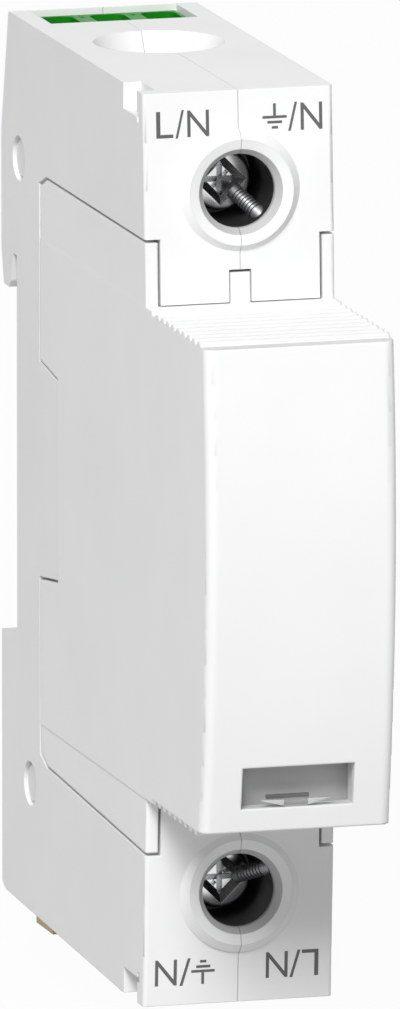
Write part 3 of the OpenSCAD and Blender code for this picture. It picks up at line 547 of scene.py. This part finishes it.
def addFloor(s):
    clearSelection()
    bpy.ops.mesh.primitive_plane_add(size=s["size"], location=(0, s["back"], s["level"]))
    floor = bpy.context.object
    floor.name = "studioFloor"
    enterEdit()
    bpy.ops.mesh.subdivide(number_cuts=s["cuts"])
    leaveEdit()
    settle(floor)
    material, tree, shader = newMaterial("paleFloor")
    low, high = (shade((1, 1, 1), tone) for tone in s["tones"])
    cloud = ramp(tree, objectNoise(tree, s["cloud"]), low, high)
    tree.links.new(cloud, shader.inputs["Base Color"])
    shader.inputs["Roughness"].default_value = s["rough"]
    glow = tree.nodes.new("ShaderNodeEmission")
    mix = tree.nodes.new("ShaderNodeMixShader")
    tree.links.new(mathNode(tree, "MULTIPLY", seenByEye(tree), s["glow"]), mix.inputs["Fac"])
    tree.links.new(shader.outputs["BSDF"], mix.inputs[1])
    tree.links.new(glow.outputs[0], mix.inputs[2])
    out = [n for n in tree.nodes if n.type == "OUTPUT_MATERIAL"][0]
    tree.links.new(mix.outputs[0], out.inputs["Surface"])
    floor.data.materials.append(material)


addFloor(floorSettings)
print("floor set")


# printed terminal marks, each leaning with the bow of the terminal faces
markSettings = {
    "faceDepth": 44.8,  # in front of the rail, at mid height
    "bowRadius": 650.0,
    "thickness": 0.03,
    "halfHeight": 1.22,  # of a letter
    "merge": 0.002,
    "flat": 1,  # edges under this many degrees are dissolved
}
# each mark: left edge, base line, glyphs with their turn and box (left, low, right, high)
terminalMarks = {
    "upperLeftMark": (-7.78, 38.38, [
        ("L", 0, 0.0, 0.0, 1.6, 2.44),
        ("/", 0, 1.81, -0.08, 2.64, 2.52),
        ("N", 0, 2.94, 0.0, 5.0, 2.44),
    ]),
    "upperRightMark": (2.29, 38.55, [
        ("bar", 0, 1.02, 1.43, 1.28, 2.55),
        ("bar", 0, 0.0, 1.18, 2.3, 1.42),
        ("bar", 0, 0.47, 0.71, 1.85, 0.95),
        ("bar", 0, 0.87, 0.22, 1.46, 0.46),
        ("/", 0, 2.43, -0.04, 3.3, 2.6),
        ("N", 0, 3.62, 0.0, 5.67, 2.5),
    ]),
    "lowerLeftMark": (-7.95, -40.62, [
        ("N", 0, 0.03, 0.0, 2.1, 2.45),
        ("/", 0, 2.38, -0.07, 3.4, 2.5),
        ("bar", 0, 4.45, 0.0, 4.71, 1.11),
        ("bar", 0, 3.48, 1.11, 5.71, 1.35),
        ("bar", 0, 3.95, 1.54, 5.28, 1.78),
        ("bar", 0, 4.3, 2.03, 4.9, 2.27),
    ]),
    "lowerRightMark": (2.62, -40.42, [
        ("N", 0, 0.02, 0.0, 2.1, 2.45),
        ("/", 0, 2.3, -0.05, 3.3, 2.52),
        ("L", 180, 3.45, 0.0, 5.03, 2.5),
    ]),
}


def glyphMesh(kind, turn, low, high):
    # one letter or bar, flat, fitted to its box
    clearSelection()
    if kind == "bar":
        bpy.ops.mesh.primitive_plane_add(size=1)
        enterEdit()
        bpy.ops.mesh.subdivide(number_cuts=1)
        leaveEdit()
    else:
        bpy.ops.object.text_add()
        bpy.context.object.data.body = kind
        bpy.context.object.data.size = 1
        bpy.ops.object.convert(target="MESH")
    glyph = bpy.context.object
    glyph.rotation_euler = (0, 0, math.radians(turn))
    settle(glyph)
    corners = [v.co for v in glyph.data.vertices]
    start = [min(c[i] for c in corners) for i in (0, 1)]
    end = [max(c[i] for c in corners) for i in (0, 1)]
    grow = [(high[i] - low[i]) / (end[i] - start[i]) for i in (0, 1)]
    glyph.scale = (grow[0], grow[1], 1)
    glyph.location = (low[0] - start[0] * grow[0], low[1] - start[1] * grow[1], 0)
    return settle(glyph)


def faceDepthAt(height):
    # how far a terminal face stands in front of the rail at this height
    return markSettings["faceDepth"] - height ** 2 / (2 * markSettings["bowRadius"])


def addMark(name, left, base, glyphs, s):
    made = [glyphMesh(kind, turn, (x0, z0), (x1, z1)) for kind, turn, x0, z0, x1, z1 in glyphs]
    mark = joinAll(made, name)
    enterEdit()
    bpy.ops.mesh.select_all(action="SELECT")
    bpy.ops.mesh.remove_doubles(threshold=s["merge"])
    bpy.ops.mesh.normals_make_consistent(inside=False)
    bpy.ops.mesh.dissolve_limited(angle_limit=math.radians(s["flat"]))
    leaveEdit()
    applyModifier(mark, "SOLIDIFY", thickness=s["thickness"], offset=0.0)
    middle = base + s["halfHeight"]
    lean = math.atan(middle / s["bowRadius"])
    depth = faceDepthAt(middle) + s["halfHeight"] * math.tan(lean)
    mark.rotation_euler = (quarter - lean, 0, 0)
    mark.location = (left * mm, -depth * mm, base * mm)
    toMetres(mark)
    paint(mark, inkGrey)
    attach(mark, "base")


for markName, (left, base, glyphs) in terminalMarks.items():
    addMark(markName, left, base, glyphs, markSettings)
print("terminal marks printed:", len(terminalMarks))


# terminal screws: bevelled head, diamond recess with a cross of grooves and two pits, rolled thread
screwSettings = {
    "headRadius": 2.9,
    "headThick": 3.05,
    "sides": 64,
    "rim": (0.4, 5),  # width and steps of its bevel
    "recess": (2.45, 1.45, 0.5),  # corner reach at the front and at the bottom, depth
    "groove": (3.4, 0.3, 0.75),  # length, half width and depth of the cross, below the recess
    "pit": (0.55, 0.34, 0.16, 0.8),  # place from the axis, corner reach at the front and bottom, depth
    "proud": (0.2, 0.1),  # how far a diamond or groove cutter stands out
    "coreRadius": 2.12,
    "threadRadius": 2.48,
    "pitch": 0.8,
    "overlap": 0.3,  # of the thread with the head
    "steps": 28,
    "merge": (0.001, 0.002),
    "smooth": 20,
}


def diamondCutter(side, height, front, back, reachFront, reachBack):
    # four-sided cutter with its corners up, down and to the sides
    clearSelection()
    bpy.ops.mesh.primitive_cone_add(
        vertices=4, radius1=reachBack, radius2=reachFront, depth=front - back,
        location=(side, -(front + back) / 2, height), rotation=(quarter, 0, 0),
    )
    return settle(bpy.context.object)


def grooveCutter(s, height, bottom, turn):
    # three-sided bar, its edge to the back, across the recess
    long, half, deep = s["groove"]
    clearSelection()
    bpy.ops.mesh.primitive_cylinder_add(vertices=3, radius=1, depth=long)
    cutter = bpy.context.object
    wide = max(v.co.x for v in cutter.data.vertices)
    tall = 1.5  # of a triangle whose corners lie 1 from its middle
    grow = (deep + s["proud"][1]) / tall
    cutter.scale = (half / wide, grow, 1)
    settle(cutter)
    cutter.rotation_euler = (0, turn, 0)
    cutter.location = (0, deep - bottom - grow, height)
    return settle(cutter)


def screwHead(s, front, height):
    clearSelection()
    bpy.ops.mesh.primitive_cylinder_add(
        vertices=s["sides"], radius=s["headRadius"], depth=s["headThick"],
        location=(0, s["headThick"] / 2 - front, height), rotation=(quarter, 0, 0),
    )
    head = settle(bpy.context.object)
    pickFaces(head, frontward)
    width, steps = s["rim"]
    bpy.ops.mesh.bevel(offset=width, segments=steps, affect="EDGES")
    leaveEdit()
    reachFront, reachBack, depth = s["recess"]
    bottom = front - depth
    over = s["proud"][0]
    reachOver = reachFront + over * (reachFront - reachBack) / depth
    cutAway(head, diamondCutter(0, height, front + over, bottom, reachOver, reachBack))
    for turn in (0, quarter):
        cutAway(head, grooveCutter(s, height, bottom, turn))
    place, reach, reachBottom, deep = s["pit"]
    for offset in (-place, place):
        cutAway(head, diamondCutter(
            offset, height + offset, bottom + over, bottom - deep, reach, reachBottom
        ))
    return head


def screwThread(s, front, back, height):
    # one pointed tooth: a diamond that loses its face and its inner corner
    clearSelection()
    bpy.ops.mesh.primitive_plane_add(size=math.sqrt(2), rotation=(0, 0, math.pi / 4))
    thread = settle(bpy.context.object)
    pickFaces(thread, upward)
    bpy.ops.mesh.delete(type="ONLY_FACE")
    bpy.ops.mesh.select_mode(type="VERT")
    bpy.ops.mesh.select_all(action="DESELECT")
    leaveEdit()
    inner = min(corner.co.x for corner in thread.data.vertices)
    for corner in thread.data.vertices:
        corner.select = corner.co.x == inner
    enterEdit()
    bpy.ops.mesh.delete(type="VERT")
    leaveEdit()
    turns = int((front - back) / s["pitch"] - 1)
    thread.scale = (s["threadRadius"] - s["coreRadius"], s["pitch"] / 2, 1)
    thread.location = (s["coreRadius"], -front + s["pitch"] / 2, 0)
    settle(thread)
    sweepHelix(thread, "Y", s["pitch"], turns, s["steps"], s["merge"])
    thread.location = (0, 0, height)
    return settle(thread)


def addScrew(name, node, body, s):
    low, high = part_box(node)
    front, back = -low[1] / mm, -high[1] / mm
    height = axisHeight(low, high)
    head = screwHead(s, front, height)
    thread = screwThread(s, front - s["headThick"] + s["overlap"], back, height)
    screw = toMetres(joinAll([head, thread], name))
    smoothBy(screw, s["smooth"])
    paint(screw, brightZinc)
    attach(screw, body)
    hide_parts(node)


addScrew("upperScrewDetailed", "upper_screw", "upper_clamp_screw", screwSettings)
addScrew("lowerScrewDetailed", "lower_screw", "lower_clamp_screw", screwSettings)
print("terminal screws made")


# ribbed screw keepers: a rod with a plain tip, set in the wall of the screw hole
keeperSettings = {
    "radius": 0.75,
    "sides": 24,
    "groove": 0.2,
    "length": 3.4,  # of the solid's rod, which sets its place
    "short": 0.4,  # how much less of it is drawn
    "root": 1.2,
    "tip": 0.4,
    "ribs": 8,
    "flank": 0.1,  # share of a rib's pitch
    "flat": 0.4,
    "lean": math.radians(38),  # toward the screw
    "clear": 1.2,  # from the screw head to the middle of the solid's tip
    "holeRadius": 3.45,
    "smooth": 25,
}
# name: node, screw, degrees round the hole, and -1 where the terminal is mirrored
keeperPlaces = {
    "upperKeeperRibbed": ("upper_screw_keeper", "upper_screw", -46, 1),
    "lowerKeeperRibbed": ("lower_screw_keeper", "lower_screw", -24, -1),
}


def keeperRod(s):
    # grown from a disc, one extrusion after another
    clearSelection()
    bpy.ops.mesh.primitive_circle_add(
        vertices=s["sides"], radius=s["radius"], fill_type="NGON", location=(0, 0, -s["root"])
    )
    rod = settle(bpy.context.object)
    pitch = (s["length"] - s["short"] - s["tip"]) / s["ribs"]
    flank, flat = s["flank"] * pitch, s["flat"] * pitch
    waist = 1 - s["groove"] / s["radius"]
    rib = [(flank, waist), (flat, 1), (flank, 1 / waist), (flat, 1)]
    enterEdit()
    bpy.ops.mesh.select_all(action="SELECT")
    for rise, grow in [(s["root"], 1)] + rib * s["ribs"] + [(s["tip"], 1)]:
        bpy.ops.mesh.extrude_region_move(TRANSFORM_OT_translate={"value": (0, 0, rise)})
        bpy.ops.transform.resize(value=(grow, grow, 1), center_override=(0, 0, 0))
    bpy.ops.mesh.select_all(action="SELECT")
    bpy.ops.mesh.normals_make_consistent(inside=False)
    leaveEdit()
    return rod


def addKeeper(name, node, screw, degrees, side, s):
    low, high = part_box(screw)
    turn = math.radians(degrees)
    depth = -low[1] / mm + s["clear"] + s["length"] * math.sin(s["lean"])
    height = axisHeight(low, high) + side * s["holeRadius"] * math.sin(turn)
    rod = keeperRod(s)
    rod.matrix_world = (
        Matrix.Translation((s["holeRadius"] * math.cos(turn), -depth, height))
        @ Matrix.Rotation(math.pi - side * turn, 4, "Y")
        @ Matrix.Rotation(s["lean"], 4, "Z")
        @ Matrix.Rotation(quarter, 4, "Y")
    )
    toMetres(settle(rod))
    giveName(rod, name)
    smoothBy(rod, s["smooth"])
    paint(rod, ribbedSteel)
    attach(rod, "base")
    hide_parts(node)


for keeperName, keeperPlace in keeperPlaces.items():
    addKeeper(keeperName, *keeperPlace, keeperSettings)
print("screw keepers made")


# flared foot round either collar, in two halves like the housing that carries it
skirtSettings = {
    "crest": (4.94, 0.78),  # radius and rise over the face
    "foot": 5.72,
    "root": (5.78, 0.42),  # radius and depth under the face
    "bore": 4.86,
    "seam": 0.06,
    "sides": 96,
    "cutter": (2.0, 9.0),  # half depth and half height of what cuts the bore and the seam
    "smooth": 30,
}


def addSkirt(name, screw, s):
    low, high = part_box(screw)
    height = axisHeight(low, high)
    face = faceDepthAt(funnelShadeSettings["height"] / mm)
    crestRadius, rise = s["crest"]
    rootRadius, sink = s["root"]
    clearSelection()
    bpy.ops.mesh.primitive_cone_add(
        vertices=s["sides"], radius1=s["foot"], radius2=crestRadius, depth=rise,
        location=(0, -face - rise / 2, height), rotation=(quarter, 0, 0),
    )
    skirt = settle(bpy.context.object)
    pickFaces(skirt, backward)
    bpy.ops.mesh.extrude_region_move(TRANSFORM_OT_translate={"value": (0, sink, 0)})
    grow = rootRadius / s["foot"]
    bpy.ops.transform.resize(value=(grow, 1, grow), center_override=(0, 0, height))
    leaveEdit()
    deep, tall = s["cutter"]
    clearSelection()
    bpy.ops.mesh.primitive_cylinder_add(
        vertices=s["sides"], radius=s["bore"], depth=2 * deep,
        location=(0, -face, height), rotation=(quarter, 0, 0),
    )
    cutAway(skirt, settle(bpy.context.object))
    gap = s["seam"] / 2
    cutAway(skirt, boxPiece((-gap, -face - deep, height - tall), (gap, deep - face, height + tall)))
    giveName(skirt, name)
    toMetres(skirt)
    smoothBy(skirt, s["smooth"])
    paint(skirt, finishes["base_plastic"])
    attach(skirt, "base")


addSkirt("upperCollarSkirt", "upper_screw", skirtSettings)
addSkirt("lowerCollarSkirt", "lower_screw", skirtSettings)
print("collar skirts made")


# window lens: flanged tray with a raised border and a clip at the lower edge,
# a wedge on either side of the clip and a dark bar on the pane
lensSettings = {
    "halfWidth": 5.22,
    "height": 3.74,
    "setBack": 0.14,  # the border's face behind the front of the solid
    "border": 0.42,
    "sink": 0.45,  # how far the pane lies behind the border
    "paneShare": (0.95, 0.86),  # of the room in the border, in width and height
    "paneShift": (-0.24, 0.2),  # off the middle, aside and up
    "trayEdge": 0.06,
    "flange": (6.05, 1.04, 0.1),  # half width, thickness, edge
    "root": 0.1,  # how far the clip, wedges and bar go on behind their foot
    "smooth": 30,
}
clipSettings = {
    "middle": -0.08,
    "width": 2.3,
    "height": 1.0,
    "rise": 0.1,  # over the border
    "rim": 0.18,
    "dip": 0.18,  # of the face inside the rim
    "edge": 0.05,
}
wedgeSettings = {
    "length": 2.1,
    "height": 0.58,  # at the clip
    "depth": 0.38,
    "rise": 0.04,  # over the border
    "lift": 0.04,  # over the tray's lower edge
    "overlap": 0.02,  # with the clip
    "point": 0.08,  # share of the height left at the far end
    "edge": 0.03,
}
barSettings = {
    "left": -2.82,
    "right": 1.2,
    "lift": 0.72,  # over the tray's lower edge
    "thickness": 0.36,
    "rise": 0.2,  # over the pane
    "rim": 0.06,
    "crown": 0.04,
}


def lensTray(s):
    half = s["halfWidth"]
    tray = boxPiece((-half, -s["front"], s["low"]), (half, -s["rear"], s["low"] + s["height"]))
    pickFaces(tray, frontward)
    bpy.ops.mesh.inset(thickness=s["border"], depth=0)
    wide, tall = s["paneShare"]
    aside, up = s["paneShift"]
    bpy.ops.transform.resize(value=(wide, 1, tall), center_override=(0, 0, s["middle"]))
    bpy.ops.transform.translate(value=(aside, s["sink"], up))
    leaveEdit()
    softenEdges(tray, s["trayEdge"])
    return tray


def lensFlange(s, bottom, top):
    half, thick, edge = s["flange"]
    flange = boxPiece((-half, -s["rear"] - thick, bottom), (half, -s["rear"], top))
    softenEdges(flange, edge)
    return flange


def lensClip(s, c):
    left, right = c["middle"] - c["width"] / 2, c["middle"] + c["width"] / 2
    clip = boxPiece(
        (left, -s["front"] - c["rise"], s["low"]),
        (right, s["sink"] + s["root"] - s["front"], s["low"] + c["height"]),
    )
    pickFaces(clip, frontward)
    bpy.ops.mesh.inset(thickness=c["rim"], depth=0)
    bpy.ops.transform.translate(value=(0, c["dip"], 0))
    leaveEdit()
    softenEdges(clip, c["edge"])
    return clip


def lensWedge(s, c, w, side):
    low = s["low"] + w["lift"]
    high = low + w["height"]
    start = c["middle"] + side * (c["width"] / 2 - w["overlap"])
    left, right = sorted((start, start + side * w["length"]))
    back = w["depth"] + s["root"] - s["front"]
    wedge = boxPiece((left, -w["rise"] - s["front"], low), (right, back, high))
    pickFaces(wedge, side * sideward)
    bpy.ops.transform.resize(value=(1, 1, w["point"]), center_override=(0, 0, high))
    leaveEdit()
    softenEdges(wedge, w["edge"])
    return wedge


def lensBar(s, b):
    low, pane = s["low"] + b["lift"], s["front"] - s["sink"]
    bar = boxPiece(
        (b["left"], -pane - b["rise"], low),
        (b["right"], s["root"] - pane, low + b["thickness"]),
    )
    pickFaces(bar, frontward)
    bpy.ops.mesh.inset(thickness=b["rim"], depth=0)
    bpy.ops.transform.translate(value=(0, -b["crown"], 0))
    leaveEdit()
    return giveName(bar, "windowBar")


def addLens(s, c, w, b):
    low, high = ([value / mm for value in corner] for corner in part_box("window_lens"))
    s = dict(s, middle=(low[2] + high[2]) / 2, front=-low[1] - s["setBack"], rear=-high[1])
    s["low"] = s["middle"] - s["height"] / 2
    tray = lensTray(s)
    combine(tray, lensFlange(s, low[2], high[2]), "UNION")
    lens = joinAll([tray, lensClip(s, c)], "windowLensDetailed")
    ledge = joinAll([lensWedge(s, c, w, -1), lensWedge(s, c, w, 1)], "windowLedge")
    bar = lensBar(s, b)
    # the wedges take the painted highlight finish
    for piece, finish in ((lens, finishes["lens_clear"]), (ledge, ledgeHighlight), (bar, barSmoke)):
        toMetres(piece)
        smoothBy(piece, s["smooth"])
        paint(piece, finish)
        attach(piece, "cartridge")
    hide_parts("window_lens")


addLens(lensSettings, clipSettings, wedgeSettings, barSettings)
print("window lens made")


# two coil springs, each drawn where its solid stands
springSettings = {"sides": 10, "steps": 32, "merge": (0.0001, 0.001), "smooth": 60}
# node: name, wire, turns, body at the lower end, body at the upper end
springPlaces = {
    "din_clip_spring": ("railClipSpring", 0.5, 6, "base", "rail_clip"),
    "trip_spring": ("tripSpringCoil", 0.4, 7, "cartridge", "trip_slider"),
}


def addSpring(node, name, wire, turns, fixed, moving, s):
    low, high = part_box(node)
    side, front = (low[0] + high[0]) / 2, (low[1] + high[1]) / 2
    radius = ((high[0] - low[0]) / mm - wire) / 2
    pitch = ((high[2] - low[2]) / mm - wire) / turns
    clearSelection()
    bpy.ops.mesh.primitive_circle_add(
        vertices=s["sides"], radius=wire / 2, location=(radius, 0, 0), rotation=(quarter, 0, 0)
    )
    spring = settle(bpy.context.object)
    sweepHelix(spring, "Z", pitch, turns, s["steps"], s["merge"])
    spring.location = (side / mm, front / mm, low[2] / mm + wire / 2)
    toMetres(settle(spring))
    giveName(spring, name)
    smoothBy(spring, s["smooth"])
    paint(spring, finishes["spring_steel"])
    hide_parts(node)
    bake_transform(spring)


for springNode, springPlace in springPlaces.items():
    addSpring(springNode, *springPlace, springSettings)
print("springs made")
